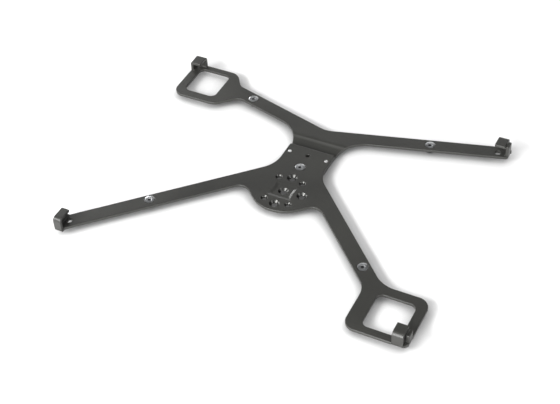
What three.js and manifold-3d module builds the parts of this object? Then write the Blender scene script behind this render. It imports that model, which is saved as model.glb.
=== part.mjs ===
// X-shaped sheet-steel holder of two brackets that keeps a flat tablet by its four corners.
// Millimetres, +Z up, floor at z = 0. X runs along the tablet's long side, +Y is the rear.
import * as THREE from "three";
import { mergeVertices } from "three/addons/utils/BufferGeometryUtils.js";
import Module from "manifold-3d";

const wasm = await Module();
wasm.setup();

// ---- overall size -----------------------------------------------------------------------
const HALF_X = 143.5; // outer faces of the side walls
const HALF_Y = 111.8; // outer faces of the end walls
const AXIS_X = -2.05; // centre line of the arms, pins and hole pattern

// ---- sheet and stack-up -----------------------------------------------------------------
const SHEET = 2.5;
const SLIP = 0.3; // running gap between the stacked sheets
const FLANGE = 0.8; // heads below the tongue
const FLANGE_BOTTOM = 0.5; // the nut and pin heads hang clear of the floor
const TONGUE_BOTTOM = FLANGE_BOTTOM + FLANGE + SLIP;
const TONGUE_TOP = TONGUE_BOTTOM + SHEET;
const PLATE_BOTTOM = TONGUE_TOP + SLIP;
const PLATE_TOP = PLATE_BOTTOM + SHEET;

// ---- corner hooks -----------------------------------------------------------------------
const POCKET_H = 7.6; // clear height under the lips
const LIP_TOP = PLATE_TOP + POCKET_H + SHEET;
const BEND_OUT = 3.5;
const BEND_IN = BEND_OUT - SHEET;
const CORNER_R = 5;
const TAB_STEP = 1; // flat margin beside the end wall of a bare corner

// Each corner has an end wall that bends over as the lip, and a plain side wall.
// end and side are the spans of the two walls, measured in from the corner of the outline.
// reach is the distance from the end wall to the lip's free edge, and inset moves the side wall in.
// rise is the height of the side wall above the plate's top face.
const HOOKS = {
  front_left: { sx: -1, sy: -1, end: [0.8, 7.4], side: [4.2, 15.6], inset: 0.8, reach: 13.2, rise: 7.2 },
  front_right: { sx: 1, sy: -1, end: [2.3, 11.2], side: [4.2, 10.6], inset: 0, reach: 11, rise: 7.2 },
  rear_left: { sx: -1, sy: 1, end: [2, 10.9], side: [4.2, 10.6], inset: 0, reach: 12.8, rise: 7.2 },
  rear_right: { sx: 1, sy: 1, end: [3.4, 11.8], side: [4.2, 11.2], inset: 0.5, reach: 12.4, rise: 9.3 },
};

// ---- front bracket ----------------------------------------------------------------------
const LOW_ANGLE = THREE.MathUtils.degToRad(44.2);
const LOW_FAR_Y = 39.5; // rear edges of the lower arms, extended to the centre line
const LOW_WIDTH = 12.9;
const LOW_SHOULDER = 3.6; // square shoulder behind the left arm's side wall
const WAIST_HALF = 19.6;
const WAIST_R = 24;
const PLATE_REAR = 47.9;
const LOBE_BOTTOM = -27.9;
const LOBE_R = 28;
const LOBE_FLANK = THREE.MathUtils.degToRad(43);
const NOTCH_R = 9.5;
const FRONT_LOOP = { left: 94.5, right: HALF_X, front: -HALF_Y, rear: -65.5 };
const FRONT_WINDOW = { left: 106.5, right: 136, front: -105.4, rear: -73.7 };

// ---- rear bracket -----------------------------------------------------------------------
const UP_ANGLE = THREE.MathUtils.degToRad(15.1);
const UP_FAR_Y = 73.3;
const UP_NEAR_Y = 60.6;
const UP_APEX_R = 20;
const TONGUE_HALF = 19;
const TONGUE_R = 27;
const TONGUE_FRONT = 13.5;
const SLOPE_TOP_Y = 60.9;
const SLOPE_BOTTOM_Y = 49.8;
const REAR_LOOP = { left: -HALF_X, front: 67.95, rear: HALF_Y };
const REAR_NECK = { far: -93.4, farLoop: -102.8, near: -86.9, nearLoop: -103.7 };
const REAR_WINDOW = { left: -135.9, right: -107.4, front: 75.55, rear: 106.4 };
const LOOP_R = 9;
const WINDOW_R = 5;

// ---- fasteners --------------------------------------------------------------------------
const HEAD_R = 4;
const HEAD_SINK = 0.15;
const SHANK_R = 2;
const HEAD_CONE = HEAD_R - SHANK_R;
const SCREW_L = 5.2;
const SOCKET_AF = 2.5;
const SOCKET_DEPTH = 1.3;
const SINK_GAP = 0.35;
const THREAD_GAP = 0.06;
const LOCK_Y = 24.75;
const PIN_Y = 39.1;
const PIN_SPREAD = 15.9;
const PIN_R = 1.6;
const PIN_HEAD_R = 2.5;
const PIN_FIT = 0.03;
const INDEX_R = 1.7;
const STROKE = 10; // how far the rear bracket opens
const SLOT_GAP = 0.25;
const NUT_R = 3;
const NUT_FLANGE_R = 6;
const FOOT_TOP_R = 4.6;
const FOOT_TIP_R = 2.8;
const INSERT_R = 2.7;
const INSERT_L = 3.1;
const ARM_SCREWS = {
  front_left: [-92.5, -55.4],
  front_right: [86.05, -54.5],
  rear_left: [-75.3, 86.8],
  rear_right: [81.8, 90.1],
};

// ---- hole pattern of the centre plate ---------------------------------------------------
const PATTERN_Y = -5;
const CROSS_R = 15.7;
const CROSS_HOLE_R = 2.3;
const CROSS_SINK_R = 4;
const GRID_X = 10.1;
const GRID_Y = 12.9;
const GRID_HOLE_R = 1.7;
const GRID_SINK_R = 2.7;
const RECESS_DEPTH = 0.7;
const RECESS_SLOPE = 2.6; // how wide the recess's sloping walls are
const RECESS_FLOOR = { halfLength: 6.2, waist: 6.2, waistR: 26.5 };
const RELIEF_R = 2.4;
const FRONT_RELIEF = [-HALF_X + 6.8, -HALF_Y + 11.4];
const REAR_RELIEF = [HALF_X - 9.4, HALF_Y - 9.5];

const ARC_STEP = THREE.MathUtils.degToRad(7.5);
const ROUND = 32;
const THROUGH = 40; // cutters reach past every surface

// ---- solids -----------------------------------------------------------------------------
function solid(geometry) {
  const bare = geometry.clone();
  bare.deleteAttribute("normal");
  bare.deleteAttribute("uv");
  const merged = mergeVertices(bare, 1e-4);
  return new wasm.Manifold(new wasm.Mesh({
    numProp: 3,
    vertProperties: new Float32Array(merged.attributes.position.array),
    triVerts: new Uint32Array(merged.index.array),
  }));
}

function geometryOf(manifold) {
  const mesh = manifold.getMesh();
  const geometry = new THREE.BufferGeometry();
  geometry.setAttribute("position", new THREE.BufferAttribute(mesh.vertProperties, 3));
  geometry.setIndex(new THREE.BufferAttribute(mesh.triVerts, 1));
  const flat = geometry.toNonIndexed();
  flat.computeVertexNormals();
  return flat;
}

// A closed outline whose corners [x, y, radius] are rounded by tangent arcs.
function roundedPoints(corners) {
  const points = [];
  corners.forEach(([x, y, r], i) => {
    const [px, py] = corners[(i + corners.length - 1) % corners.length];
    const [nx, ny] = corners[(i + 1) % corners.length];
    const vertex = new THREE.Vector2(x, y);
    const into = new THREE.Vector2(x - px, y - py).normalize();
    const out = new THREE.Vector2(nx - x, ny - y).normalize();
    const turn = Math.atan2(into.cross(out), into.dot(out));
    if (!r || Math.abs(turn) < 1e-6) {
      points.push(vertex);
      return;
    }
    const side = Math.sign(turn);
    const start = vertex.clone().addScaledVector(into, -r * Math.tan(Math.abs(turn) / 2));
    const centre = start.clone().add(new THREE.Vector2(-into.y, into.x).multiplyScalar(side * r));
    const steps = Math.max(2, Math.ceil(Math.abs(turn) / ARC_STEP));
    for (let k = 0; k <= steps; k += 1) {
      const spoke = start.clone().sub(centre);
      points.push(spoke.rotateAround(new THREE.Vector2(), (turn * k) / steps).add(centre));
    }
  });
  return points;
}

function prism(points, bottom, top) {
  const geometry = new THREE.ExtrudeGeometry(new THREE.Shape(points), {
    depth: top - bottom,
    bevelEnabled: false,
  });
  return solid(geometry.translate(0, 0, bottom));
}

function box(x0, x1, y0, y1, z0, z1) {
  const geometry = new THREE.BoxGeometry(Math.abs(x1 - x0), Math.abs(y1 - y0), z1 - z0);
  return solid(geometry.translate((x0 + x1) / 2, (y0 + y1) / 2, (z0 + z1) / 2));
}

function roundedRect({ left, right, front, rear }, r) {
  return roundedPoints([[left, front, r], [right, front, r], [right, rear, r], [left, rear, r]]);
}

// A turned solid from [radius, z] pairs that start and end on the axis.
function turned(profile, x, y) {
  const points = profile.map(([r, z]) => new THREE.Vector2(r, z));
  const geometry = new THREE.LatheGeometry(points, ROUND);
  return solid(geometry.rotateX(Math.PI / 2).translate(x, y, 0));
}

function bore(x, y, r) {
  return turned([[0, -THROUGH], [r, -THROUGH], [r, THROUGH], [0, THROUGH]], x, y);
}

// Through hole with a 90 degree countersink that starts at the face at the given height.
function sunkBore(x, y, hole, mouth, face = PLATE_TOP) {
  const cone = mouth - hole;
  return turned([
    [0, -THROUGH],
    [hole, -THROUGH],
    [hole, face - cone],
    [mouth, face],
    [mouth, THROUGH],
    [0, THROUGH],
  ], x, y);
}

// A round-ended slot along Y.
function slot(x, y0, y1, r) {
  const points = roundedPoints([
    [x - r, y0 - r, r], [x + r, y0 - r, r], [x + r, y1 + r, r], [x - r, y1 + r, r],
  ]);
  return prism(points, -THROUGH, THROUGH);
}

// ---- bent walls -------------------------------------------------------------------------
function arc(cx, cz, r, from, to) {
  const points = [];
  const steps = Math.ceil(Math.abs(to - from) / ARC_STEP);
  for (let k = 0; k <= steps; k += 1) {
    const angle = from + ((to - from) * k) / steps;
    points.push(new THREE.Vector2(cx + r * Math.cos(angle), cz + r * Math.sin(angle)));
  }
  return points;
}

const BASE_Z = PLATE_BOTTOM + BEND_OUT;
const ROOT = BEND_OUT + 1; // how far the bent profile runs into the flat plate

// Section of the end wall: up from the plate, then inwards as the lip. x is the inward distance.
function lipSection(reach) {
  const bendZ = LIP_TOP - BEND_OUT;
  return [
    new THREE.Vector2(ROOT, PLATE_TOP),
    ...arc(BEND_OUT, BASE_Z, BEND_IN, -Math.PI / 2, -Math.PI),
    ...arc(BEND_OUT, bendZ, BEND_IN, Math.PI, Math.PI / 2),
    new THREE.Vector2(reach, LIP_TOP - SHEET),
    new THREE.Vector2(reach, LIP_TOP),
    ...arc(BEND_OUT, bendZ, BEND_OUT, Math.PI / 2, Math.PI),
    ...arc(BEND_OUT, BASE_Z, BEND_OUT, Math.PI, 1.5 * Math.PI),
    new THREE.Vector2(ROOT, PLATE_BOTTOM),
  ];
}

// Section of the plain side wall.
function wallSection(rise) {
  const top = PLATE_TOP + rise;
  return [
    new THREE.Vector2(ROOT, PLATE_TOP),
    ...arc(BEND_OUT, BASE_Z, BEND_IN, -Math.PI / 2, -Math.PI),
    new THREE.Vector2(SHEET, top),
    new THREE.Vector2(0, top),
    ...arc(BEND_OUT, BASE_Z, BEND_OUT, Math.PI, 1.5 * Math.PI),
    new THREE.Vector2(ROOT, PLATE_BOTTOM),
  ];
}

// Extrudes a section along a wall; along and inward are signed unit axes.
function bentWall(section, length, origin, along, inward) {
  const geometry = new THREE.ExtrudeGeometry(new THREE.Shape(section), {
    depth: length,
    bevelEnabled: false,
  });
  const basis = new THREE.Matrix4().makeBasis(inward, new THREE.Vector3(0, 0, 1), along);
  basis.setPosition(origin);
  return solid(geometry).transform(basis.elements);
}

// Bends the two tabs of one corner up from the plate; sx and sy point to the corner.
function addHook(plate, { sx, sy, end, side, inset, reach, rise }) {
  const outX = sx * HALF_X;
  const outY = sy * HALF_Y;
  const wallX = outX - sx * inset;
  const low = PLATE_BOTTOM - 1;
  const high = PLATE_TOP + 1;
  const [endA, endB] = end.map((d) => outX - sx * d);
  const [sideA, sideB] = side.map((d) => outY - sy * d);
  const endTab = box(endA, endB, outY + sy, outY - sy * BEND_OUT, low, high);
  const sideTab = box(outX + sx, wallX - sx * BEND_OUT, sideA, sideB, low, high);
  const alongX = new THREE.Vector3(-sx, 0, 0);
  const alongY = new THREE.Vector3(0, -sy, 0);
  const endStart = new THREE.Vector3(endA, outY, 0);
  const sideStart = new THREE.Vector3(wallX, sideA, 0);
  const endWall = bentWall(lipSection(reach), end[1] - end[0], endStart, alongX, alongY);
  const sideWall = bentWall(wallSection(rise), side[1] - side[0], sideStart, alongY, alongX);
  return plate.subtract(endTab).subtract(sideTab).add(endWall).add(sideWall);
}

// ---- front bracket: lobe, waist, two lower arms, one loop -------------------------------
const lowTan = Math.tan(LOW_ANGLE);
const LOW_NEAR_Y = LOW_FAR_Y - LOW_WIDTH / Math.cos(LOW_ANGLE);
const lowFarY = (x) => LOW_FAR_Y - lowTan * Math.abs(x - AXIS_X);
const lowNearY = (x) => LOW_NEAR_Y - lowTan * Math.abs(x - AXIS_X);

function frontOutline() {
  const flankTan = Math.tan(LOBE_FLANK);
  const lobeY = LOBE_BOTTOM - LOBE_R * (1 / Math.cos(LOBE_FLANK) - 1);
  const notchX = (LOW_NEAR_Y - lobeY) / (flankTan + lowTan);
  const notchY = lobeY + flankTan * notchX;
  const tabX = -HALF_X + HOOKS.front_left.end[1] + 2 * TAB_STEP;
  const shoulderX = -HALF_X + LOW_SHOULDER;
  const loopX = AXIS_X + (LOW_FAR_Y - FRONT_LOOP.rear) / lowTan;
  return roundedPoints([
    [shoulderX, lowFarY(shoulderX), 0],
    [-HALF_X, lowFarY(shoulderX), 1],
    [-HALF_X, -HALF_Y, CORNER_R],
    [tabX, -HALF_Y, 2.2],
    [tabX, lowNearY(tabX), 5],
    [AXIS_X - notchX, notchY, NOTCH_R],
    [AXIS_X, lobeY, LOBE_R],
    [AXIS_X + notchX, notchY, NOTCH_R],
    [FRONT_LOOP.left, lowNearY(FRONT_LOOP.left), 18],
    [FRONT_LOOP.left, FRONT_LOOP.front, LOOP_R],
    [FRONT_LOOP.right, FRONT_LOOP.front, CORNER_R],
    [FRONT_LOOP.right, FRONT_LOOP.rear, LOOP_R],
    [loopX, FRONT_LOOP.rear, 23],
    [AXIS_X + WAIST_HALF, lowFarY(AXIS_X + WAIST_HALF), WAIST_R],
    [AXIS_X + WAIST_HALF, PLATE_REAR, 1.5],
    [AXIS_X - WAIST_HALF, PLATE_REAR, 1.5],
    [AXIS_X - WAIST_HALF, lowFarY(AXIS_X - WAIST_HALF), WAIST_R],
  ]);
}

// Shallow recess between the hole rows: a waisted floor with sloping walls all round.
function recess() {
  const { halfLength, waist, waistR } = RECESS_FLOOR;
  const span = Math.asin(halfLength / waistR);
  const right = arc(AXIS_X + waist + waistR, PATTERN_Y, waistR, Math.PI + span, Math.PI - span);
  const left = arc(AXIS_X - waist - waistR, PATTERN_Y, waistR, span, -span);
  const geometry = new THREE.ExtrudeGeometry(new THREE.Shape([...right, ...left]), {
    depth: 1,
    bevelThickness: RECESS_DEPTH,
    bevelSize: RECESS_SLOPE,
    bevelSegments: 1,
  });
  return solid(geometry.translate(0, 0, PLATE_TOP));
}

function frontBracket() {
  let body = prism(frontOutline(), PLATE_BOTTOM, PLATE_TOP);
  body = body.subtract(prism(roundedRect(FRONT_WINDOW, WINDOW_R), -THROUGH, THROUGH));
  body = body.subtract(bore(...FRONT_RELIEF, RELIEF_R));
  body = addHook(body, HOOKS.front_left);
  body = addHook(body, HOOKS.front_right);
  body = body.subtract(recess());
  const floorZ = PLATE_TOP - RECESS_DEPTH;
  body = body.subtract(sunkBore(AXIS_X, PATTERN_Y, CROSS_HOLE_R, CROSS_SINK_R, floorZ));
  const cross = [[0, CROSS_R], [CROSS_R, 0], [0, -CROSS_R]];
  for (const [dx, dy] of cross) {
    body = body.subtract(sunkBore(AXIS_X + dx, PATTERN_Y + dy, CROSS_HOLE_R, CROSS_SINK_R));
  }
  for (const dx of [-GRID_X, GRID_X]) {
    for (const dy of [-GRID_Y, GRID_Y]) {
      body = body.subtract(sunkBore(AXIS_X + dx, PATTERN_Y + dy, GRID_HOLE_R, GRID_SINK_R));
    }
  }
  body = body.subtract(screwSeat(AXIS_X, LOCK_Y));
  body = body.subtract(screwSeat(...ARM_SCREWS.front_left));
  body = body.subtract(screwSeat(...ARM_SCREWS.front_right));
  body = body.subtract(bore(AXIS_X, PIN_Y, INDEX_R));
  for (const dx of [-PIN_SPREAD, PIN_SPREAD]) {
    body = body.subtract(bore(AXIS_X + dx, PIN_Y, PIN_R + PIN_FIT));
  }
  return body;
}

// ---- rear bracket: joggled tongue, two upper arms, one loop -----------------------------
const upTan = Math.tan(UP_ANGLE);
const upFarY = (x) => UP_FAR_Y + upTan * Math.abs(x - AXIS_X);
const upNearY = (x) => UP_NEAR_Y + upTan * Math.abs(x - AXIS_X);

function rearOutline() {
  const tabX = HALF_X - HOOKS.rear_right.end[1] - TAB_STEP;
  return roundedPoints([
    [AXIS_X + TONGUE_HALF, TONGUE_FRONT, 3],
    [AXIS_X + TONGUE_HALF, upNearY(AXIS_X + TONGUE_HALF), TONGUE_R],
    [HALF_X, upNearY(HALF_X), 4],
    [HALF_X, HALF_Y, CORNER_R],
    [tabX, HALF_Y, 1],
    [tabX, upFarY(tabX), 1],
    [AXIS_X, UP_FAR_Y, UP_APEX_R],
    [REAR_NECK.far, upFarY(REAR_NECK.far), 8],
    [REAR_NECK.farLoop, REAR_LOOP.rear, 12],
    [REAR_LOOP.left, REAR_LOOP.rear, CORNER_R],
    [REAR_LOOP.left, REAR_LOOP.front, LOOP_R],
    [REAR_NECK.nearLoop, REAR_LOOP.front, 12],
    [REAR_NECK.near, upNearY(REAR_NECK.near), 10],
    [AXIS_X - TONGUE_HALF, upNearY(AXIS_X - TONGUE_HALF), TONGUE_R],
    [AXIS_X - TONGUE_HALF, TONGUE_FRONT, 3],
  ]);
}

// The sheet seen from the side: tongue, slope, upper level, with small bend radii.
function joggledSheet() {
  const reach = HALF_Y + 10;
  const lower = [
    [TONGUE_FRONT - 10, TONGUE_BOTTOM, 0],
    [SLOPE_BOTTOM_Y, TONGUE_BOTTOM, 12],
    [SLOPE_TOP_Y, PLATE_BOTTOM, 12],
    [reach, PLATE_BOTTOM, 0],
  ];
  const upper = lower.map(([y, z, r]) => [y, z + SHEET, r]).reverse();
  const section = roundedPoints([...lower, ...upper]);
  const geometry = new THREE.ExtrudeGeometry(new THREE.Shape(section), {
    depth: 2 * HALF_X + 20,
    bevelEnabled: false,
  });
  geometry.applyMatrix4(new THREE.Matrix4().makeBasis(
    new THREE.Vector3(0, 1, 0),
    new THREE.Vector3(0, 0, 1),
    new THREE.Vector3(1, 0, 0),
  ));
  return solid(geometry.translate(-HALF_X - 10, 0, 0));
}

function rearBracket() {
  let body = prism(rearOutline(), 0, PLATE_TOP + 1).intersect(joggledSheet());
  body = body.subtract(prism(roundedRect(REAR_WINDOW, WINDOW_R), -THROUGH, THROUGH));
  body = body.subtract(bore(...REAR_RELIEF, RELIEF_R));
  body = addHook(body, HOOKS.rear_left);
  body = addHook(body, HOOKS.rear_right);
  body = body.subtract(screwSeat(...ARM_SCREWS.rear_left));
  body = body.subtract(screwSeat(...ARM_SCREWS.rear_right));
  body = body.subtract(slot(AXIS_X, TONGUE_FRONT - THROUGH, LOCK_Y, NUT_R + SLOT_GAP));
  body = body.subtract(bore(AXIS_X, PIN_Y, INDEX_R));
  for (const dx of [-PIN_SPREAD, PIN_SPREAD]) {
    body = body.subtract(slot(AXIS_X + dx, PIN_Y - STROKE, PIN_Y, PIN_R + SLOT_GAP));
  }
  return body;
}

// ---- fasteners --------------------------------------------------------------------------
function screwSeat(x, y) {
  return sunkBore(x, y, SHANK_R + SINK_GAP, HEAD_R + SINK_GAP);
}

function screw(x, y) {
  const top = PLATE_TOP - HEAD_SINK;
  const tip = top - SCREW_L;
  const body = turned([
    [0, tip],
    [SHANK_R - 0.4, tip],
    [SHANK_R, tip + 0.4],
    [SHANK_R, top - HEAD_CONE],
    [HEAD_R, top],
    [0, top],
  ], x, y);
  const socket = new THREE.CylinderGeometry(
    SOCKET_AF / Math.sqrt(3),
    SOCKET_AF / Math.sqrt(3),
    2 * SOCKET_DEPTH,
    6,
  );
  return body.subtract(solid(socket.rotateX(Math.PI / 2).translate(x, y, top)));
}

function guidePin(x, y) {
  return turned([
    [0, FLANGE_BOTTOM],
    [PIN_HEAD_R, FLANGE_BOTTOM],
    [PIN_HEAD_R, FLANGE_BOTTOM + FLANGE],
    [PIN_R, FLANGE_BOTTOM + FLANGE],
    [PIN_R, PLATE_TOP],
    [0, PLATE_TOP],
  ], x, y);
}

// Flanged nut whose barrel rides in the fork of the tongue.
function teeNut(x, y) {
  return turned([
    [0, FLANGE_BOTTOM],
    [NUT_FLANGE_R, FLANGE_BOTTOM],
    [NUT_FLANGE_R, FLANGE_BOTTOM + FLANGE],
    [NUT_R, FLANGE_BOTTOM + FLANGE],
    [NUT_R, TONGUE_TOP],
    [0, TONGUE_TOP],
  ], x, y).subtract(bore(x, y, SHANK_R + THREAD_GAP));
}

function threadedInsert(x, y) {
  return turned([
    [0, PLATE_BOTTOM - INSERT_L],
    [INSERT_R, PLATE_BOTTOM - INSERT_L],
    [INSERT_R, PLATE_BOTTOM],
    [0, PLATE_BOTTOM],
  ], x, y).subtract(bore(x, y, SHANK_R + THREAD_GAP));
}

// Tapered bumper, closed at the floor, with a socket for the insert and the screw's tip.
function foot(x, y) {
  const socketR = INSERT_R + THREAD_GAP;
  return turned([
    [0, 0],
    [FOOT_TIP_R - 0.6, 0],
    [FOOT_TIP_R, 0.6],
    [FOOT_TOP_R, PLATE_BOTTOM],
    [socketR, PLATE_BOTTOM],
    [socketR, PLATE_BOTTOM - INSERT_L - THREAD_GAP],
    [0, PLATE_BOTTOM - INSERT_L - THREAD_GAP],
  ], x, y);
}

// ---- assembly ---------------------------------------------------------------------------
const group = new THREE.Group();

function add(name, manifold, look) {
  const mesh = new THREE.Mesh(geometryOf(manifold), new THREE.MeshStandardMaterial(look));
  mesh.name = name;
  group.add(mesh);
}

const COAT = { color: 0x40403d, roughness: 0.55, metalness: 0.35 };
const STEEL = { color: 0xb9babb, roughness: 0.3, metalness: 1 };
const BRASS = { color: 0xb08d4a, roughness: 0.35, metalness: 1 };
const RUBBER = { color: 0x1b1b1b, roughness: 0.9, metalness: 0 };

add("front_bracket", frontBracket(), COAT);
add("rear_bracket", rearBracket(), COAT);
add("lock_screw", screw(AXIS_X, LOCK_Y), STEEL);
add("lock_tee_nut", teeNut(AXIS_X, LOCK_Y), STEEL);
add("guide_pin_left", guidePin(AXIS_X - PIN_SPREAD, PIN_Y), STEEL);
add("guide_pin_right", guidePin(AXIS_X + PIN_SPREAD, PIN_Y), STEEL);
for (const [place, [x, y]] of Object.entries(ARM_SCREWS)) {
  add(`screw_${place}`, screw(x, y), STEEL);
  add(`insert_${place}`, threadedInsert(x, y), BRASS);
  add(`foot_${place}`, foot(x, y), RUBBER);
}

export default group;
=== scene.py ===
"""Looks for the tablet mounting frame: rounded sheet edges, turned fasteners, finishes and light."""

import math

import bmesh
import bpy
from mathutils import Matrix, Vector
from mathutils.geometry import tessellate_polygon

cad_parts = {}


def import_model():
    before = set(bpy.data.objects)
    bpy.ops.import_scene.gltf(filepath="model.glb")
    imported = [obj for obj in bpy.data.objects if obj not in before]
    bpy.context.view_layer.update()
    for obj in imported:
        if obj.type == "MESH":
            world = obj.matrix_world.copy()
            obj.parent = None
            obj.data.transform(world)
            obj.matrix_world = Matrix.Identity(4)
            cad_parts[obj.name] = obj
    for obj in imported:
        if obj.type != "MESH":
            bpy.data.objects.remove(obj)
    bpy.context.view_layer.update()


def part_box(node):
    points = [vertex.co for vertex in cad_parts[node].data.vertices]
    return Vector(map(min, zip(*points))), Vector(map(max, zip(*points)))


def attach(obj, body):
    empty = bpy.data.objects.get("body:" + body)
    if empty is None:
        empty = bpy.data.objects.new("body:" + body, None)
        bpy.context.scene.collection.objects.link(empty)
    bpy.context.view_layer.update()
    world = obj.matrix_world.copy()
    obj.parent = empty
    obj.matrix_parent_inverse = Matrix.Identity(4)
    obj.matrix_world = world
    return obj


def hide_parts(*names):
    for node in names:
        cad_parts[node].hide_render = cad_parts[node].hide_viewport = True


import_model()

MM = 0.001
TURN_STEPS = 64
FLOOR_Z = -0.02 * MM  # just below the feet
LIGHT_DISTANCE = 1.6


# ---- materials --------------------------------------------------------------------------
def new_material(name):
    material = bpy.data.materials.new(name)
    material.use_nodes = True
    nodes = material.node_tree.nodes
    nodes.clear()
    output = nodes.new("ShaderNodeOutputMaterial")
    shader = nodes.new("ShaderNodeBsdfPrincipled")
    material.node_tree.links.new(shader.outputs["BSDF"], output.inputs["Surface"])
    return material, shader


def noise(material, scale, detail=3.0, stretch=(1, 1, 1)):
    tree = material.node_tree
    coords = tree.nodes.new("ShaderNodeTexCoord")
    mapping = tree.nodes.new("ShaderNodeMapping")
    mapping.inputs["Scale"].default_value = stretch
    texture = tree.nodes.new("ShaderNodeTexNoise")
    texture.inputs["Scale"].default_value = scale
    texture.inputs["Detail"].default_value = detail
    tree.links.new(coords.outputs["Object"], mapping.inputs["Vector"])
    tree.links.new(mapping.outputs["Vector"], texture.inputs["Vector"])
    return texture.outputs["Fac"]


def ramp(material, source, stops):
    """Colours by value; stops are (position, colour) pairs."""
    tree = material.node_tree
    node = tree.nodes.new("ShaderNodeValToRGB")
    elements = node.color_ramp.elements
    while len(elements) < len(stops):
        elements.new(0.5)
    for element, (position, color) in zip(elements, stops):
        element.position = position
        element.color = (*color, 1.0)
    tree.links.new(source, node.inputs["Fac"])
    return node.outputs["Color"]


def spread(material, source, low, high, start=0.3, stop=0.7):
    """Maps the source's start..stop to low..high."""
    tree = material.node_tree
    node = tree.nodes.new("ShaderNodeMapRange")
    node.inputs["From Min"].default_value = start
    node.inputs["From Max"].default_value = stop
    node.inputs["To Min"].default_value = low
    node.inputs["To Max"].default_value = high
    tree.links.new(source, node.inputs["Value"])
    return node.outputs["Result"]


def bump(material, shader, height, strength, distance, below=None):
    tree = material.node_tree
    node = tree.nodes.new("ShaderNodeBump")
    node.inputs["Strength"].default_value = strength
    node.inputs["Distance"].default_value = distance
    tree.links.new(height, node.inputs["Height"])
    if below is not None:
        tree.links.new(below, node.inputs["Normal"])
    tree.links.new(node.outputs["Normal"], shader.inputs["Normal"])
    return node.outputs["Normal"]


def mix_colors(material, factor, first, second):
    """Goes from the first colour to the second; each is a tuple or a socket."""
    tree = material.node_tree
    node = tree.nodes.new("ShaderNodeMix")
    node.data_type = "RGBA"
    tree.links.new(factor, node.inputs["Factor"])
    for value, key in ((first, "A"), (second, "B")):
        sockets = [s for s in node.inputs if s.name == key and s.type == "RGBA"]
        if isinstance(value, tuple):
            sockets[0].default_value = (*value, 1.0)
        else:
            tree.links.new(value, sockets[0])
    return [s for s in node.outputs if s.type == "RGBA"][0]


def occlusion(material, reach):
    """How open each point is to its surroundings, 0 to 1, looking as far as the reach in millimetres."""
    node = material.node_tree.nodes.new("ShaderNodeAmbientOcclusion")
    node.samples = 16
    node.inputs["Distance"].default_value = reach * MM
    return node.outputs["AO"]


def power(material, source, exponent):
    node = material.node_tree.nodes.new("ShaderNodeMath")
    node.operation = "POWER"
    node.inputs[1].default_value = exponent
    material.node_tree.links.new(source, node.inputs[0])
    return node.outputs["Value"]


def powder_coat():
    """Fine-textured satin powder coat, rubbed a little lighter along the edges."""
    material, shader = new_material("powder_coat")
    tree = material.node_tree
    cloud = noise(material, 22.0, detail=4.0)
    speckle = noise(material, 2600.0, detail=2.0)
    base = ramp(material, cloud, [(0.3, (0.0262, 0.0262, 0.0245)), (0.7, (0.0298, 0.0298, 0.0265))])
    grain = ramp(material, speckle, [(0.35, (0.82, 0.82, 0.82)), (0.65, (1.15, 1.15, 1.15))])
    tint = tree.nodes.new("ShaderNodeMix")
    tint.data_type = "RGBA"
    tint.blend_type = "MULTIPLY"
    tint.inputs["Factor"].default_value = 1.0
    colors = [s for s in tint.inputs if s.type == "RGBA"]
    tree.links.new(base, colors[0])
    tree.links.new(grain, colors[1])
    coated = [s for s in tint.outputs if s.type == "RGBA"][0]
    geometry = tree.nodes.new("ShaderNodeNewGeometry")
    edge = spread(material, geometry.outputs["Pointiness"], 0.0, 0.3, 0.53, 0.62)
    color = mix_colors(material, edge, coated, (0.10, 0.10, 0.096))
    tree.links.new(color, shader.inputs["Base Color"])
    tree.links.new(spread(material, cloud, 0.34, 0.42), shader.inputs["Roughness"])
    shader.inputs["Metallic"].default_value = 0.0
    shader.inputs["Specular IOR Level"].default_value = 0.5
    peel = noise(material, 900.0, detail=1.5)
    under = bump(material, shader, peel, 0.25, 0.05 * MM)
    bump(material, shader, speckle, 0.35, 0.02 * MM, under)
    return material


def zinc_steel():
    """Bright zinc plating on turned steel, with shade painted dark into its crevices such as the hex socket.
    """
    material, shader = new_material("zinc_steel")
    tree = material.node_tree
    cloud = noise(material, 160.0, detail=5.0)
    plating = ramp(material, cloud, [(0.3, (0.42, 0.43, 0.44)), (0.7, (0.55, 0.56, 0.57))])
    # Painted shade: the plating's colour goes nearly black where nearby surfaces close in, as in the hex
    # socket.
    painted_crevice_shade = power(material, occlusion(material, 2.0), 2.5)
    tree.links.new(mix_colors(material, painted_crevice_shade, (0.03, 0.03, 0.03), plating), shader.inputs["Base Color"])
    shader.inputs["Metallic"].default_value = 1.0
    tree.links.new(spread(material, cloud, 0.30, 0.42), shader.inputs["Roughness"])
    bump(material, shader, noise(material, 3000.0, detail=2.0), 0.25, 0.01 * MM)
    return material


def polished_steel():
    """Hardened pin steel, ground bright."""
    material, shader = new_material("polished_steel")
    cloud = noise(material, 400.0, detail=3.0)
    color = ramp(material, cloud, [(0.3, (0.88, 0.88, 0.88)), (0.7, (0.97, 0.97, 0.97))])
    material.node_tree.links.new(color, shader.inputs["Base Color"])
    shader.inputs["Metallic"].default_value = 1.0
    material.node_tree.links.new(spread(material, cloud, 0.45, 0.55), shader.inputs["Roughness"])
    return material


def cut_steel():
    """Bare metal where the countersinks were cut through the coat."""
    material, shader = new_material("cut_steel")
    cloud = noise(material, 700.0, detail=3.0)
    color = ramp(material, cloud, [(0.3, (0.06, 0.06, 0.058)), (0.7, (0.088, 0.088, 0.085))])
    material.node_tree.links.new(color, shader.inputs["Base Color"])
    shader.inputs["Metallic"].default_value = 1.0
    material.node_tree.links.new(spread(material, cloud, 0.3, 0.42), shader.inputs["Roughness"])
    return material


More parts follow.
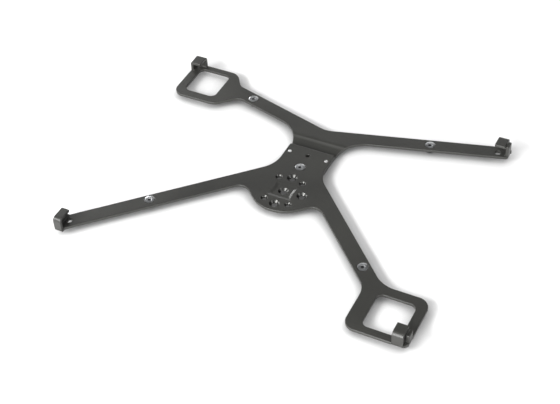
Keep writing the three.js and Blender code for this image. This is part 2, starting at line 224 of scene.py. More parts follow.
def brass():
    material, shader = new_material("turned_brass")
    tree = material.node_tree
    cloud = noise(material, 200.0, detail=4.0)
    color = ramp(material, cloud, [(0.3, (0.46, 0.30, 0.10)), (0.7, (0.62, 0.42, 0.17))])
    tree.links.new(color, shader.inputs["Base Color"])
    shader.inputs["Metallic"].default_value = 1.0
    tree.links.new(spread(material, cloud, 0.25, 0.4), shader.inputs["Roughness"])
    bump(material, shader, noise(material, 1500.0, stretch=(1, 1, 8)), 0.2, 0.01 * MM)
    return material


def rubber():
    material, shader = new_material("foot_rubber")
    tree = material.node_tree
    cloud = noise(material, 300.0, detail=4.0)
    color = ramp(material, cloud, [(0.3, (0.012, 0.012, 0.012)), (0.7, (0.022, 0.022, 0.021))])
    tree.links.new(color, shader.inputs["Base Color"])
    tree.links.new(spread(material, cloud, 0.7, 0.88), shader.inputs["Roughness"])
    bump(material, shader, noise(material, 4000.0, detail=2.0), 0.4, 0.02 * MM)
    return material


COAT = powder_coat()
ZINC = zinc_steel()
POLISHED = polished_steel()
CUT = cut_steel()
BRASS = brass()
RUBBER = rubber()


# ---- mesh helpers -----------------------------------------------------------------------
def link(name, mesh, material, body, node):
    """Adds a piece that stands for a CAD node and moves with a body."""
    piece = bpy.data.objects.new(name, mesh)
    bpy.context.scene.collection.objects.link(piece)
    mesh.materials.clear()
    mesh.materials.append(material)
    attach(piece, body)
    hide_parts(node)


def extent(node):
    """Low corner, high corner and centre of a CAD node."""
    low, high = (Vector(corner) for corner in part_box(node))
    return low, high, (low + high) / 2


def plan_centre(node):
    """Plan position of a CAD node's centre, in millimetres."""
    _, _, centre = extent(node)
    return centre.x / MM, centre.y / MM


def smooth_with_creases(mesh, degrees):
    mesh.polygons.foreach_set("use_smooth", [True] * len(mesh.polygons))
    mesh.set_sharp_from_angle(angle=math.radians(degrees))


def ring(form, radius_at, z, centre):
    verts = []
    for k in range(TURN_STEPS):
        angle = 2 * math.pi * k / TURN_STEPS
        r = radius_at(angle) if callable(radius_at) else radius_at
        verts.append(form.verts.new((centre.x + r * math.cos(angle), centre.y + r * math.sin(angle), z)))
    return verts


def bridge(form, lower, upper):
    for k in range(TURN_STEPS):
        n = (k + 1) % TURN_STEPS
        form.faces.new((lower[k], lower[n], upper[n], upper[k]))


def cap(form, verts, z, centre, flip):
    middle = form.verts.new((centre.x, centre.y, z))
    for k in range(TURN_STEPS):
        n = (k + 1) % TURN_STEPS
        face = (verts[n], verts[k], middle) if flip else (verts[k], verts[n], middle)
        form.faces.new(face)


def turned(name, profile, centre, capped=True):
    """A turned solid from (radius, z) pairs; a radius may be a function of the angle.

    A capped profile is closed at both ends; the profile of a bored solid ends where it starts.
    """
    form = bmesh.new()
    rings = [ring(form, r, z, centre) for r, z in profile]
    for lower, upper in zip(rings, rings[1:]):
        bridge(form, lower, upper)
    if capped:
        cap(form, rings[0], profile[0][1], centre, True)
        cap(form, rings[-1], profile[-1][1], centre, False)
    bmesh.ops.recalc_face_normals(form, faces=form.faces)
    mesh = bpy.data.meshes.new(name)
    form.to_mesh(mesh)
    form.free()
    smooth_with_creases(mesh, 30)
    return mesh


def hexagon(across_flats):
    """Radius of a hexagon's outline at an angle."""
    sixth = math.pi / 3

    def radius(angle):
        return across_flats / 2 / math.cos((angle + sixth / 2) % sixth - sixth / 2)

    return radius


# ---- sheet sizes, in millimetres --------------------------------------------------------
front_low, front_high = (Vector(corner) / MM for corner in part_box("front_bracket"))
rear_low, rear_high = (Vector(corner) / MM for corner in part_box("rear_bracket"))
HALF_X = front_high.x
HALF_Y = rear_high.y
PLATE_REAR = front_high.y
TONGUE_FRONT = rear_low.y
PLATE_BOTTOM = front_low.z
LIP_TOP = front_high.z
TONGUE_BOTTOM = rear_low.z
SHEET = 2.5
PLATE_TOP = PLATE_BOTTOM + SHEET
AXIS_X = -2.05  # centre line of the arms, pins and hole pattern
ARC_STEP = math.radians(4)
EDGE_R = 0.45  # rounding of the sheet's edges
THROUGH = 20.0  # cutters reach past every surface
SAME_POINT = 1e-4

LOW_ANGLE = math.radians(44.2)
LOW_FAR_Y = 39.5
LOW_WIDTH = 12.9
LOW_SHOULDER = 3.6
WAIST_HALF = 19.6
WAIST_R = 24
NOTCH_R = 9.5
LOBE_BOTTOM = -27.9
LOBE_R = 28
LOBE_FLANK = math.radians(43)
FRONT_LOOP = {"left": 94.5, "right": HALF_X, "front": -HALF_Y, "rear": -65.5}
FRONT_WINDOW = (106.5, 136, -105.4, -73.7)
UP_ANGLE = math.radians(15.1)
UP_FAR_Y = 73.3
UP_NEAR_Y = 60.6
UP_APEX_R = 20
TONGUE_HALF = 19
TONGUE_R = 27
SLOPE_TOP_Y = 60.9
SLOPE_BOTTOM_Y = 49.8
SLOPE_R = 12
REAR_LOOP = {"left": -HALF_X, "front": 67.95, "rear": HALF_Y}
REAR_NECK = {"far": -93.4, "far_loop": -102.8, "near": -86.9, "near_loop": -103.7}
REAR_WINDOW = (-135.9, -107.4, 75.55, 106.4)
WINDOW_R = 5
CORNER_R = 5
LOOP_R = 9

# A corner's end wall bends over as the lip; its side wall is plain.
# sx and sy point to the corner; end and side are the walls' spans, measured in from the corner.
# inset moves the side wall in, reach is the distance from the end wall to the lip's free edge,
# and rise is the height of the side wall above the plate.
HOOKS = {
    "front_left": {
        "sx": -1, "sy": -1, "end": (0.8, 7.4), "side": (4.2, 15.6), "inset": 0.8, "reach": 13.2, "rise": 7.2,
    },
    "front_right": {
        "sx": 1, "sy": -1, "end": (3.1, 11.6), "side": (4.2, 10.6), "inset": 0, "reach": 11, "rise": 7.2,
    },
    "rear_left": {
        "sx": -1, "sy": 1, "end": (2, 10.9), "side": (4.2, 10.6), "inset": 0, "reach": 12.8, "rise": 7.2,
    },
    "rear_right": {
        "sx": 1, "sy": 1, "end": (3.4, 11.8), "side": (4.2, 11.2), "inset": 0.5, "reach": 12.4, "rise": 9.3,
    },
}
BEND_OUT = 3.5
BEND_IN = BEND_OUT - SHEET
FOOT_BEND = 1.3  # outer radius at the foot of a wall
TAB_SLIT = 0.2  # the cut beside a wall is narrower than the wall, so the two join
TAB_STEP = 0.5  # flat margin beside the front left end wall

PATTERN_Y = -5
CROSS_R = 15.7
CROSS_HOLE = (2.3, 4)  # radii of the hole and of the countersink's mouth
GRID_X = 10.1
GRID_Y = 12.9
GRID_HOLE = (1.7, 2.7)
RECESS_DEPTH = 0.7
RECESS_SLOPE = 2.6
RELIEF_R = 2.4
FRONT_RELIEF = (-HALF_X + 6.8, -HALF_Y + 11.4)
REAR_RELIEF = (HALF_X - 9.4, HALF_Y - 9.5)
INDEX_R = 1.7
PIN_Y = 39.1
PIN_SPREAD = 15.9
PIN_R = 1.6
PIN_FIT = 0.03
SLOT_GAP = 0.25
STROKE = 10
LOCK_Y = 24.75
SHANK_R = 2
HEAD_R = 4
SINK_GAP = 0.35
NUT_R = 3
THREAD_GAP = 0.06
FLANGE = 0.8  # thickness of the pins' heads and of the nut's flange
SOCKET_FLATS = 2.5
THREAD_PITCH = 0.7
INSERT_R = 2.7
INSERT_L = 3.1
FOOT_TIP_R = 2.8
CROSS = [(AXIS_X + dx, PATTERN_Y + dy, *CROSS_HOLE) for dx, dy in ((0, CROSS_R), (CROSS_R, 0), (0, -CROSS_R))]
GRID = [(AXIS_X + dx, PATTERN_Y + dy, *GRID_HOLE) for dx in (-GRID_X, GRID_X) for dy in (-GRID_Y, GRID_Y)]
CENTRE = (AXIS_X, PATTERN_Y, *CROSS_HOLE)
SEAT = (SHANK_R + SINK_GAP, HEAD_R + SINK_GAP)


# ---- outlines ---------------------------------------------------------------------------
def rounded_points(corners):
    """A closed outline whose corners (x, y, radius) are rounded by tangent arcs."""
    points = []
    for i, (x, y, r) in enumerate(corners):
        before = corners[i - 1]
        after = corners[(i + 1) % len(corners)]
        vertex = Vector((x, y))
        into = (vertex - Vector(before[:2])).normalized()
        out = (Vector(after[:2]) - vertex).normalized()
        turn = math.atan2(into.x * out.y - into.y * out.x, into.dot(out))
        if not r or abs(turn) < 1e-6:
            points.append(vertex)
            continue
        side = math.copysign(1, turn)
        start = vertex - into * r * math.tan(abs(turn) / 2)
        centre = start + Vector((-into.y, into.x)) * side * r
        steps = max(3, math.ceil(abs(turn) / ARC_STEP))
        for k in range(steps + 1):
            spoke = (start - centre).copy()
            spoke.rotate(Matrix.Rotation(turn * k / steps, 2))
            points.append(centre + spoke)
    return [point for i, point in enumerate(points) if (point - points[i - 1]).length > SAME_POINT]


def circle(x, y, r, steps=48):
    """A hole's outline, clockwise, so that the material is on its left."""
    turns = (-2 * math.pi * k / steps for k in range(steps))
    return [Vector((x + r * math.cos(t), y + r * math.sin(t))) for t in turns]


def rectangle(left, right, front, rear, r):
    corners = [(left, front, r), (left, rear, r), (right, rear, r), (right, front, r)]
    return rounded_points(corners)


def offset(points, distance):
    """Moves an outline towards the material on its left."""
    moved = []
    for i, point in enumerate(points):
        into = (point - points[i - 1]).normalized()
        out = (points[(i + 1) % len(points)] - point).normalized()
        first = Vector((-into.y, into.x))
        second = Vector((-out.y, out.x))
        moved.append(point + (first + second) * distance / (1 + first.dot(second)))
    return moved


def edge_profile(bottom, top, r=EDGE_R, steps=4):
    """Rounded edge, top to bottom: (distance into the material, height)."""
    angles = [math.pi / 2 * k / steps for k in range(steps + 1)]
    upper = [(r * (1 - math.sin(a)), top - r * (1 - math.cos(a))) for a in angles]
    lower = [(d, bottom + top - z) for d, z in reversed(upper)]
    return upper + lower


def sink_profile(bottom, top, hole, mouth):
    """Countersink with a softened mouth, above a plain hole."""
    cone = mouth - hole
    return [
        (cone + 0.12, top),
        (cone + 0.02, top - 0.04),
        (cone - 0.08, top - 0.13),
        (0.06, top - cone + 0.02),
        (0, top - cone - 0.08),
        (0, bottom + 0.2),
        (0.06, bottom + 0.06),
        (0.2, bottom),
    ]


# ---- solids -----------------------------------------------------------------------------
def plate(loops):
    """A flat solid: each loop is (outline, profile), the outer one first; material on every loop's left."""
    form = bmesh.new()
    caps = {0: [], -1: []}
    for points, profile in loops:
        rows = []
        for distance, height in profile:
            rows.append([form.verts.new((p.x, p.y, height)) for p in offset(points, distance)])
        for upper, lower in zip(rows, rows[1:]):
            for k in range(len(upper)):
                n = (k + 1) % len(upper)
                form.faces.new((upper[k], lower[k], lower[n], upper[n]))
        for end in caps:
            caps[end].append(rows[end])
    for rings in caps.values():
        flat = [v for row in rings for v in row]
        for triangle in tessellate_polygon([[v.co for v in row] for row in rings]):
            form.faces.new([flat[i] for i in triangle])
    bmesh.ops.recalc_face_normals(form, faces=form.faces)
    return form


def as_object(form, name, basis=None):
    """Turns a form in millimetres into a mesh object in metres."""
    form.transform(Matrix.Scale(MM, 4) @ (basis or Matrix()))
    bmesh.ops.recalc_face_normals(form, faces=form.faces)
    mesh = bpy.data.meshes.new(name)
    form.to_mesh(mesh)
    form.free()
    thing = bpy.data.objects.new(name, mesh)
    bpy.context.scene.collection.objects.link(thing)
    return thing


def combine(target, tool, operation):
    """Applies a boolean to the target's mesh and removes the tool."""
    modifier = target.modifiers.new(operation, "BOOLEAN")
    modifier.operation = operation
    modifier.solver = "MANIFOLD"
    modifier.object = tool
    bpy.context.view_layer.update()
    result = bpy.data.meshes.new_from_object(target.evaluated_get(bpy.context.evaluated_depsgraph_get()))
    target.modifiers.clear()
    old = target.data
    target.data = result
    bpy.data.meshes.remove(old)
    mesh = tool.data
    bpy.data.objects.remove(tool)
    bpy.data.meshes.remove(mesh)


def block(x0, x1, y0, y1, z0, z1):
    form = bmesh.new()
    low = (min(x0, x1), min(y0, y1), z0)
    high = (max(x0, x1), max(y0, y1), z1)
    size = [b - a for a, b in zip(low, high)]
    middle = [(a + b) / 2 for a, b in zip(low, high)]
    bmesh.ops.create_cube(form, size=1, matrix=Matrix.Translation(middle) @ Matrix.Diagonal((*size, 1)))
    return as_object(form, "cutter")


# ---- bent walls -------------------------------------------------------------------------
def arc(cx, cy, r, start, stop):
    steps = max(4, math.ceil(abs(stop - start) / ARC_STEP))
    angles = (start + (stop - start) * k / steps for k in range(steps + 1))
    return [Vector((cx + r * math.cos(a), cy + r * math.sin(a))) for a in angles]


def wall_section(rise, reach=None):
    """Section of a bent wall, counter-clockwise; with a reach it bends over into a lip."""
    root = BEND_OUT + 1  # how far the section runs into the flat sheet
    sunk = 0.02  # keeps the section's faces just inside the sheet's
    base = PLATE_BOTTOM + BEND_OUT
    half, full = math.pi / 2, math.pi
    start = [Vector((root, PLATE_TOP - sunk)), *arc(BEND_OUT, base - sunk, BEND_IN, -half, -full)]
    foot = arc(FOOT_BEND, PLATE_BOTTOM + FOOT_BEND, FOOT_BEND, full, 1.5 * full)
    finish = [*foot, Vector((root, PLATE_BOTTOM + sunk))]
    r = 0.6
    if reach:
        bend = LIP_TOP - BEND_OUT
        under = LIP_TOP - SHEET
        middle = [
            *arc(BEND_OUT, bend, BEND_IN, full, half),
            *arc(reach - r, under + r, r, -half, 0),
            *arc(reach - r, LIP_TOP - r, r, 0, half),
            *arc(BEND_OUT, bend, BEND_OUT, half, full),
        ]
    else:
        top = PLATE_TOP + rise
        middle = [*arc(SHEET - r, top - r, r, 0, half), *arc(r, top - r, r, half, full)]
    return start + middle + finish


def bent_wall(section, length, origin, along, inward):
    """Extrudes a section along a wall; along and inward are signed unit axes."""
    form = plate([(section, edge_profile(0, length))])
    basis = Matrix((inward, (0, 0, 1), along)).transposed().to_4x4()
    basis.translation = origin
    return as_object(form, "wall", basis)


def add_hook(target, hook):
    """Cuts the two tabs of one corner out of the sheet and bends them up as walls."""
    sx, sy = hook["sx"], hook["sy"]
    out_x, out_y = sx * HALF_X, sy * HALF_Y
    wall_x = out_x - sx * hook["inset"]
    low, high = PLATE_BOTTOM - 1, PLATE_TOP + 1
    end_a, end_b = (out_x - sx * d for d in hook["end"])
    side_a, side_b = (out_y - sy * d for d in hook["side"])
    slit_x, slit_y = sx * TAB_SLIT, sy * TAB_SLIT
    end_tab = block(end_a + slit_x, end_b - slit_x, out_y + sy, out_y - sy * BEND_OUT, low, high)
    side_tab = block(out_x + sx, wall_x - sx * BEND_OUT, side_a + slit_y, side_b - slit_y, low, high)
    along_x, along_y = (-sx, 0, 0), (0, -sy, 0)
    end_length = hook["end"][1] - hook["end"][0]
    side_length = hook["side"][1] - hook["side"][0]
    combine(target, end_tab, "DIFFERENCE")
    combine(target, side_tab, "DIFFERENCE")
    end_section = wall_section(hook["rise"], hook["reach"])
    side_section = wall_section(hook["rise"])
    combine(target, bent_wall(end_section, end_length, (end_a, out_y, 0), along_x, along_y), "UNION")
    combine(target, bent_wall(side_section, side_length, (wall_x, side_a, 0), along_y, along_x), "UNION")


# ---- front bracket ----------------------------------------------------------------------
def low_far(x):
    return LOW_FAR_Y - math.tan(LOW_ANGLE) * abs(x - AXIS_X)


def low_near(x):
    return low_far(x) - LOW_WIDTH / math.cos(LOW_ANGLE)


def front_outline():
    low_tan, flank_tan = math.tan(LOW_ANGLE), math.tan(LOBE_FLANK)
    lobe_y = LOBE_BOTTOM - LOBE_R * (1 / math.cos(LOBE_FLANK) - 1)
    notch_x = (low_near(AXIS_X) - lobe_y) / (flank_tan + low_tan)
    notch_y = lobe_y + flank_tan * notch_x
    tab_x = -HALF_X + HOOKS["front_left"]["end"][1] + TAB_STEP
    shoulder_x = -HALF_X + LOW_SHOULDER
    loop_x = AXIS_X + (LOW_FAR_Y - FRONT_LOOP["rear"]) / low_tan
    left, right = FRONT_LOOP["left"], FRONT_LOOP["right"]
    front, rear = FRONT_LOOP["front"], FRONT_LOOP["rear"]
    waist_left, waist_right = AXIS_X - WAIST_HALF, AXIS_X + WAIST_HALF
    return rounded_points([
        (shoulder_x, low_far(shoulder_x), 0),
        (-HALF_X, low_far(shoulder_x), 1),
        (-HALF_X, -HALF_Y, CORNER_R),
        (tab_x, -HALF_Y, 1),
        (tab_x, low_near(tab_x), 3),
        (AXIS_X - notch_x, notch_y, NOTCH_R),
        (AXIS_X, lobe_y, LOBE_R),
        (AXIS_X + notch_x, notch_y, NOTCH_R),
        (left, low_near(left), 18),
        (left, front, LOOP_R),
        (right, front, CORNER_R),
        (right, rear, LOOP_R),
        (loop_x, rear, 23),
        (waist_right, low_far(waist_right), WAIST_R),
        (waist_right, PLATE_REAR, 1.5),
        (waist_left, PLATE_REAR, 1.5),
        (waist_left, low_far(waist_left), WAIST_R),
    ])


def recess_cutter():
    """Waisted floor with softly curved sloping walls."""
    half, waist, waist_r = 6.2, 6.2, 26.5
    span = math.asin(half / waist_r)
    right = arc(AXIS_X + waist + waist_r, PATTERN_Y, waist_r, math.pi + span, math.pi - span)
    left = arc(AXIS_X - waist - waist_r, PATTERN_Y, waist_r, span, -span)
    fall = [(1, 0), (0.9, 0.03), (0.81, 0.1), (0.19, 0.9), (0.1, 0.97), (0, 1)]
    profile = [(-RECESS_SLOPE, PLATE_TOP + 1)]
    profile += [(-RECESS_SLOPE * t, PLATE_TOP - RECESS_DEPTH * depth) for t, depth in fall]
    return as_object(plate([(right + left, profile)]), "cutter")


def sink_cutter(x, y, hole, mouth, face):
    """Through hole with a countersink that starts at the face."""
    cone = mouth - hole
    profile = [
        (mouth + 0.12, THROUGH),
        (mouth + 0.12, face),
        (mouth + 0.02, face - 0.04),
        (mouth - 0.08, face - 0.13),
        (hole, face - cone),
        (hole, -THROUGH),
    ]
    points = list(reversed(circle(x, y, 1)))
    return as_object(plate([(points, [(1 - r, z) for r, z in profile])]), "cutter")


def front_sheet():
    plain = edge_profile(PLATE_BOTTOM, PLATE_TOP)
    fine = edge_profile(PLATE_BOTTOM, PLATE_TOP, 0.2)
    crisp = edge_profile(PLATE_BOTTOM, PLATE_TOP, 0.1)
    loops = [(front_outline(), plain), (rectangle(*FRONT_WINDOW, WINDOW_R), plain)]
    relief_edge = edge_profile(PLATE_BOTTOM, PLATE_TOP, 0.08)
    loops.append((circle(*FRONT_RELIEF, RELIEF_R), relief_edge))
    seats = [(*plan_centre(node), *SEAT) for node in ("lock_screw", "screw_front_left", "screw_front_right")]
    for x, y, hole, mouth in CROSS + GRID + seats:
        loops.append((circle(x, y, hole), sink_profile(PLATE_BOTTOM, PLATE_TOP, hole, mouth)))
    loops.append((circle(AXIS_X, PIN_Y, INDEX_R), fine))
    for dx in (-PIN_SPREAD, PIN_SPREAD):
        loops.append((circle(AXIS_X + dx, PIN_Y, PIN_R + PIN_FIT), crisp))
    sheet = as_object(plate(loops), "front_sheet")
    combine(sheet, recess_cutter(), "DIFFERENCE")
    combine(sheet, sink_cutter(*CENTRE, PLATE_TOP - RECESS_DEPTH), "DIFFERENCE")
    add_hook(sheet, HOOKS["front_left"])
    add_hook(sheet, HOOKS["front_right"])
    return sheet


# ---- rear bracket -----------------------------------------------------------------------
def up_far(x):
    return UP_FAR_Y + math.tan(UP_ANGLE) * abs(x - AXIS_X)


def up_near(x):
    return UP_NEAR_Y + math.tan(UP_ANGLE) * abs(x - AXIS_X)


def rear_outline():
    tab_x = HALF_X - HOOKS["rear_right"]["end"][1] - 1
    left, front, rear = REAR_LOOP["left"], REAR_LOOP["front"], REAR_LOOP["rear"]
    tongue_left, tongue_right = AXIS_X - TONGUE_HALF, AXIS_X + TONGUE_HALF
    return rounded_points([
        (tongue_right, TONGUE_FRONT, 3),
        (tongue_right, up_near(tongue_right), TONGUE_R),
        (HALF_X, up_near(HALF_X), 4),
        (HALF_X, HALF_Y, CORNER_R),
        (tab_x, HALF_Y, 1),
        (tab_x, up_far(tab_x), 1),
        (AXIS_X, UP_FAR_Y, UP_APEX_R),
        (REAR_NECK["far"], up_far(REAR_NECK["far"]), 8),
        (REAR_NECK["far_loop"], rear, 12),
        (left, rear, CORNER_R),
        (left, front, LOOP_R),
        (REAR_NECK["near_loop"], front, 12),
        (REAR_NECK["near"], up_near(REAR_NECK["near"]), 10),
        (tongue_left, up_near(tongue_left), TONGUE_R),
        (tongue_left, TONGUE_FRONT, 3),
    ])


def slot_outline(x, y0, y1, r):
    """A round-ended slot along Y, clockwise; y0 and y1 are the centres of its ends."""
    return rounded_points([(x - r, y0 - r, r), (x - r, y1 + r, r), (x + r, y1 + r, r), (x + r, y0 - r, r)])


def joggle(form):
    """Sets the tongue down below the plate: cuts the flat sheet across the slope, then shears it."""
    drop = PLATE_BOTTOM - TONGUE_BOTTOM
    path = rounded_points([
        (SLOPE_BOTTOM_Y - 30, -drop, 0),
        (SLOPE_BOTTOM_Y, -drop, SLOPE_R),
        (SLOPE_TOP_Y, 0, SLOPE_R),
        (SLOPE_TOP_Y + 30, 0, 0),
    ])
    bends = [p for p in path if SLOPE_BOTTOM_Y - 29 < p.x < SLOPE_TOP_Y + 29]
    for bend in bends:
        everything = list(form.verts) + list(form.edges) + list(form.faces)
        bmesh.ops.bisect_plane(form, geom=everything, dist=1e-5, plane_co=(0, bend.x, 0), plane_no=(0, 1, 0))
    for vert in form.verts:
        y = vert.co.y
        after = next((i for i, p in enumerate(path) if p.x >= y), None)
        if after is None:
            continue
        if after == 0:
            vert.co.z -= drop
            continue
        a, b = path[after - 1], path[after]
        vert.co.z += a.y + (b.y - a.y) * (y - a.x) / (b.x - a.x)
    return form


def rear_sheet():
    plain = edge_profile(PLATE_BOTTOM, PLATE_TOP)
    fine = edge_profile(PLATE_BOTTOM, PLATE_TOP, 0.2)
    loops = [(rear_outline(), plain), (rectangle(*REAR_WINDOW, WINDOW_R), plain)]
    loops.append((circle(*REAR_RELIEF, RELIEF_R), fine))
    for node in ("screw_rear_left", "screw_rear_right"):
        loops.append((circle(*plan_centre(node), SEAT[0]), sink_profile(PLATE_BOTTOM, PLATE_TOP, *SEAT)))
    loops.append((circle(AXIS_X, PIN_Y, INDEX_R), fine))
    for dx in (-PIN_SPREAD, PIN_SPREAD):
        loops.append((slot_outline(AXIS_X + dx, PIN_Y - STROKE, PIN_Y, PIN_R + SLOT_GAP), fine))
    sheet = as_object(joggle(plate(loops)), "rear_sheet")
    fork = list(reversed(slot_outline(AXIS_X, TONGUE_FRONT - THROUGH, LOCK_Y, NUT_R + SLOT_GAP)))
    combine(sheet, as_object(plate([(fork, [(0, THROUGH), (0, -THROUGH)])]), "cutter"), "DIFFERENCE")
    add_hook(sheet, HOOKS["rear_left"])
    add_hook(sheet, HOOKS["rear_right"])
    return sheet


def bare_cones(mesh, places):
    """Gives the cones of the listed countersinks the second material."""
    mesh.materials.append(CUT)
    for face in mesh.polygons:
        if not 0.3 < face.normal.z < 0.95:
            continue
        for x, y, _, mouth in places:
            if math.hypot(face.center.x / MM - x, face.center.y / MM - y) < mouth + 0.05:
                face.material_index = 1


def finish_sheet(piece, node, body):
    """Cleans a bracket's mesh, coats it and puts it in its node's place."""
    form = bmesh.new()
    form.from_mesh(piece.data)
    bmesh.ops.dissolve_degenerate(form, dist=0.005 * MM, edges=form.edges)
    loose = [edge for edge in form.edges if not edge.link_faces]
    bmesh.ops.delete(form, geom=loose, context="EDGES")
    form.to_mesh(piece.data)
    form.free()
    smooth_with_creases(piece.data, 38)
    piece.data.materials.clear()
    piece.data.materials.append(COAT)
    if body == "front":
        bare_cones(piece.data, [*CROSS, *GRID, CENTRE])
    weighted = piece.modifiers.new("weighted_normal", "WEIGHTED_NORMAL")
    weighted.keep_sharp = True
    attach(piece, body)
    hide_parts(node)


finish_sheet(front_sheet(), "front_bracket", "front")
finish_sheet(rear_sheet(), "rear_bracket", "rear")


# ---- fasteners --------------------------------------------------------------------------
def countersunk_screw(node, body):
    low, high, centre = extent(node)
    head = (high.x - low.x) / 2
    shank = SHANK_R * MM
    rim = 0.25 * MM
    flats = SOCKET_FLATS * MM
    tip = 0.4 * MM
    root = shank - 0.3 * MM
    pitch = THREAD_PITCH * MM
    top = high.z
    cone = top - rim - (head - shank)
    profile = [(shank - tip, low.z), (shank, low.z + tip)]
    z = low.z + tip + pitch / 2
    while z + pitch / 2 < cone - 0.1 * MM:
        profile += [(root, z), (shank, z + pitch / 2)]
        z += pitch
    profile += [
        (shank, cone),
        (head, top - rim),
        (head, top - 0.12 * MM),
        (head - 0.04 * MM, top - 0.04 * MM),
        (head - 0.12 * MM, top),
        (2.3 * MM, top),
        (hexagon(flats + 1.1 * MM), top),
        (hexagon(flats), top - 0.4 * MM),
        (hexagon(flats), top - 1.15 * MM),
        (hexagon(flats * 0.55), top - 1.3 * MM),
    ]
    mesh = turned(node + "_turned", profile, centre)
    link(node + "_turned", mesh, ZINC, body, node)


def guide_pin(node, body):
    low, high, centre = extent(node)
    head = (high.x - low.x) / 2
    r = PIN_R * MM
    step = low.z + FLANGE * MM
    profile = [
        (head - 0.3 * MM, low.z),
        (head - 0.08 * MM, low.z + 0.08 * MM),
        (head, low.z + 0.3 * MM),
        (head, step - 0.1 * MM),
        (head - 0.1 * MM, step),
        (r, step),
        (r, high.z - 0.45 * MM),
        (r - 0.1 * MM, high.z - 0.28 * MM),
        (r * 0.75, high.z - 0.12 * MM),
        (r * 0.45, high.z - 0.03 * MM),
        (r * 0.2, high.z),
    ]
    link(node + "_turned", turned(node + "_turned", profile, centre), POLISHED, body, node)


def tee_nut(node, body):
    low, high, centre = extent(node)
    flange = (high.x - low.x) / 2
    barrel = NUT_R * MM
    hole = (SHANK_R + THREAD_GAP) * MM
    step = low.z + FLANGE * MM
    profile = [
        (hole, high.z - 0.3 * MM),
        (hole, low.z + 0.3 * MM),
        (hole + 0.3 * MM, low.z),
        (flange - 0.25 * MM, low.z),
        (flange - 0.07 * MM, low.z + 0.07 * MM),
        (flange, low.z + 0.25 * MM),
        (flange, step - 0.12 * MM),
        (flange - 0.12 * MM, step),
        (barrel, step),
        (barrel, high.z - 0.2 * MM),
        (barrel - 0.2 * MM, high.z),
        (hole + 0.3 * MM, high.z),
        (hole, high.z - 0.3 * MM),
    ]
    mesh = turned(node + "_turned", profile, centre, capped=False)
    weld(mesh)
    link(node + "_turned", mesh, ZINC, body, node)


def knurled_insert(node, body):
    low, high, centre = extent(node)
    outer = (high.x - low.x) / 2
    hole = (SHANK_R + THREAD_GAP) * MM

    def knurl(angle):
        return outer - 0.12 * MM * (0.5 + 0.5 * math.cos(32 * angle))

    profile = [
        (hole, high.z - 0.25 * MM),
        (hole, low.z + 0.25 * MM),
        (hole + 0.2 * MM, low.z),
        (outer - 0.3 * MM, low.z),
        (knurl, low.z + 0.35 * MM),
        (knurl, high.z - 0.45 * MM),
        (outer - 0.05 * MM, high.z - 0.35 * MM),
        (outer - 0.05 * MM, high.z),
        (hole + 0.25 * MM, high.z),
        (hole, high.z - 0.25 * MM),
    ]
    mesh = turned(node + "_turned", profile, centre, capped=False)
    weld(mesh)
    link(node + "_turned", mesh, BRASS, body, node)


def rubber_foot(node, body):
    low, high, centre = extent(node)
    top_r = (high.x - low.x) / 2
    tip = FOOT_TIP_R * MM
    socket = (INSERT_R + THREAD_GAP) * MM
    pocket = high.z - (INSERT_L + THREAD_GAP) * MM
    slope = (top_r - tip) / (high.z - low.z - 0.6 * MM)
    profile = [
        (tip - 1.2 * MM, low.z + 0.15 * MM),
        (tip - 0.9 * MM, low.z),
        (tip - 0.5 * MM, low.z),
        (tip - 0.18 * MM, low.z + 0.12 * MM),
        (tip, low.z + 0.5 * MM),
        (tip + slope * 1.2 * MM, low.z + 1.8 * MM),
        (tip + slope * 2.4 * MM, low.z + 3.0 * MM),
        (top_r - 0.06 * MM, high.z - 0.35 * MM),
        (top_r - 0.1 * MM, high.z - 0.08 * MM),
        (top_r - 0.3 * MM, high.z),
        (socket, high.z),
        (socket, pocket),
    ]
    link(node + "_moulded", turned(node + "_moulded", profile, centre), RUBBER, body, node)


def weld(mesh):
    """Joins the first and last ring of a turned solid with a bore."""
    form = bmesh.new()
    form.from_mesh(mesh)
    bmesh.ops.remove_doubles(form, verts=form.verts, dist=0.001 * MM)
    bmesh.ops.recalc_face_normals(form, faces=form.faces)
    form.to_mesh(mesh)
    form.free()
    smooth_with_creases(mesh, 30)


for body, places in (("front", ("front_left", "front_right")), ("rear", ("rear_left", "rear_right"))):
    for place in places:
        countersunk_screw("screw_" + place, body)
        knurled_insert("insert_" + place, body)
        rubber_foot("foot_" + place, body)
countersunk_screw("lock_screw", "lock_screw")
tee_nut("lock_tee_nut", "front")
guide_pin("guide_pin_left", "front")
guide_pin("guide_pin_right", "front")


# ---- stage ------------------------------------------------------------------------------
def floor():
    mesh = bpy.data.meshes.new("floor")
    reach = 4.0
    corners = [(x * reach, y * reach, FLOOR_Z) for x, y in ((-1, -1), (1, -1), (1, 1), (-1, 1))]
    mesh.from_pydata(corners, [], [(0, 1, 2, 3)])
    material, shader = new_material("floor_white_painted_shadow")
    # Painted contact shadow: the floor's colour darkens towards near black wherever the part hides it from
    # its surroundings, under and beside the sheets.
    open_sky = occlusion(material, 15.0)
    painted_shadow_mask = power(material, spread(material, open_sky, 0.0, 1.0, 0.0, 1.0), 1.15)
    tint = mix_colors(material, painted_shadow_mask, (0.03, 0.03, 0.03), (0.85, 0.85, 0.85))
    material.node_tree.links.new(tint, shader.inputs["Base Color"])
    shader.inputs["Emission Color"].default_value = (1.0, 1.0, 1.0, 1.0)
    shader.inputs["Emission Strength"].default_value = 0.085
    shader.inputs["Roughness"].default_value = 0.9
    shader.inputs["Specular IOR Level"].default_value = 0.1
    mesh.materials.append(material)
    piece = bpy.data.objects.new("floor", mesh)
    bpy.context.scene.collection.objects.link(piece)


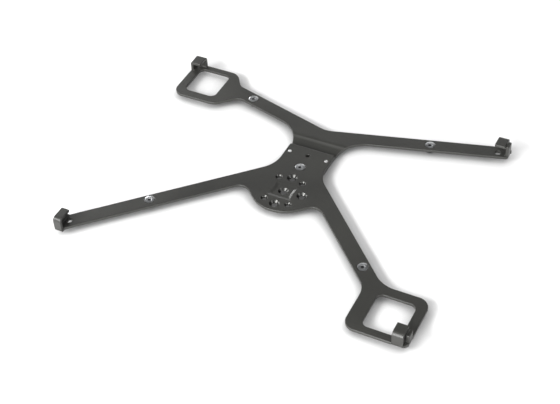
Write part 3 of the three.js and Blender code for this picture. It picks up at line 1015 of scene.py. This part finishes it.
def softbox(name, azimuth, elevation, width, height, watts):
    """An area light aimed at the part; azimuth is measured from +Y towards +X."""
    light = bpy.data.lights.new(name, "AREA")
    light.shape = "RECTANGLE"
    light.size = width
    light.size_y = height
    light.energy = watts
    holder = bpy.data.objects.new(name, light)
    bpy.context.scene.collection.objects.link(holder)
    a = math.radians(azimuth)
    e = math.radians(elevation)
    away = Vector((math.sin(a) * math.cos(e), math.cos(a) * math.cos(e), math.sin(e)))
    holder.location = away * LIGHT_DISTANCE
    holder.rotation_euler = away.to_track_quat("Z", "Y").to_euler()


def world(strength):
    backdrop = bpy.data.worlds.new("studio")
    bpy.context.scene.world = backdrop
    backdrop.use_nodes = True
    background = backdrop.node_tree.nodes["Background"]
    background.inputs["Color"].default_value = (1.0, 1.0, 1.0, 1.0)
    background.inputs["Strength"].default_value = strength


def camera():
    yaw = math.radians(-28.633)
    pitch = math.radians(43.364)
    roll = math.radians(-3.4)
    forward = Vector((
        math.sin(yaw) * math.cos(pitch),
        math.cos(yaw) * math.cos(pitch),
        -math.sin(pitch),
    ))
    right = Vector((math.cos(yaw), -math.sin(yaw), 0))
    up = right.cross(forward)
    tilted_right = math.cos(roll) * right + math.sin(roll) * up
    tilted_up = math.cos(roll) * up - math.sin(roll) * right
    target = Vector((1.97, -18.11, 6.9)) * MM
    place = target - forward * 926.5 * MM
    data = bpy.data.cameras.new("camera")
    data.sensor_width = 36.0
    data.lens = 77.97
    data.shift_x = -0.5 / 560
    data.shift_y = 0.5 / 560
    data.clip_start = 0.01
    holder = bpy.data.objects.new("camera", data)
    bpy.context.scene.collection.objects.link(holder)
    turn = Matrix((tilted_right, tilted_up, -forward)).transposed()
    holder.matrix_world = Matrix.Translation(place) @ turn.to_4x4()
    bpy.context.scene.camera = holder


floor()
world(0.06)
softbox("front_low", 180, 16, 0.7, 0.7, 34)
softbox("front_left", 211, 35, 0.9, 0.3, 26)
softbox("left_high", 235, 60, 0.7, 0.7, 3)
softbox("left_low", 280, 14, 0.5, 0.5, 10)
softbox("left_rear", 312, 18, 0.3, 0.3, 6)
softbox("rear_low", 345, 18, 0.7, 0.7, 3.5)
softbox("right_high", 75, 62, 0.7, 0.7, 5)
softbox("right", 95, 28, 0.7, 0.7, 8)
camera()
bpy.context.scene.view_settings.view_transform = "Standard"
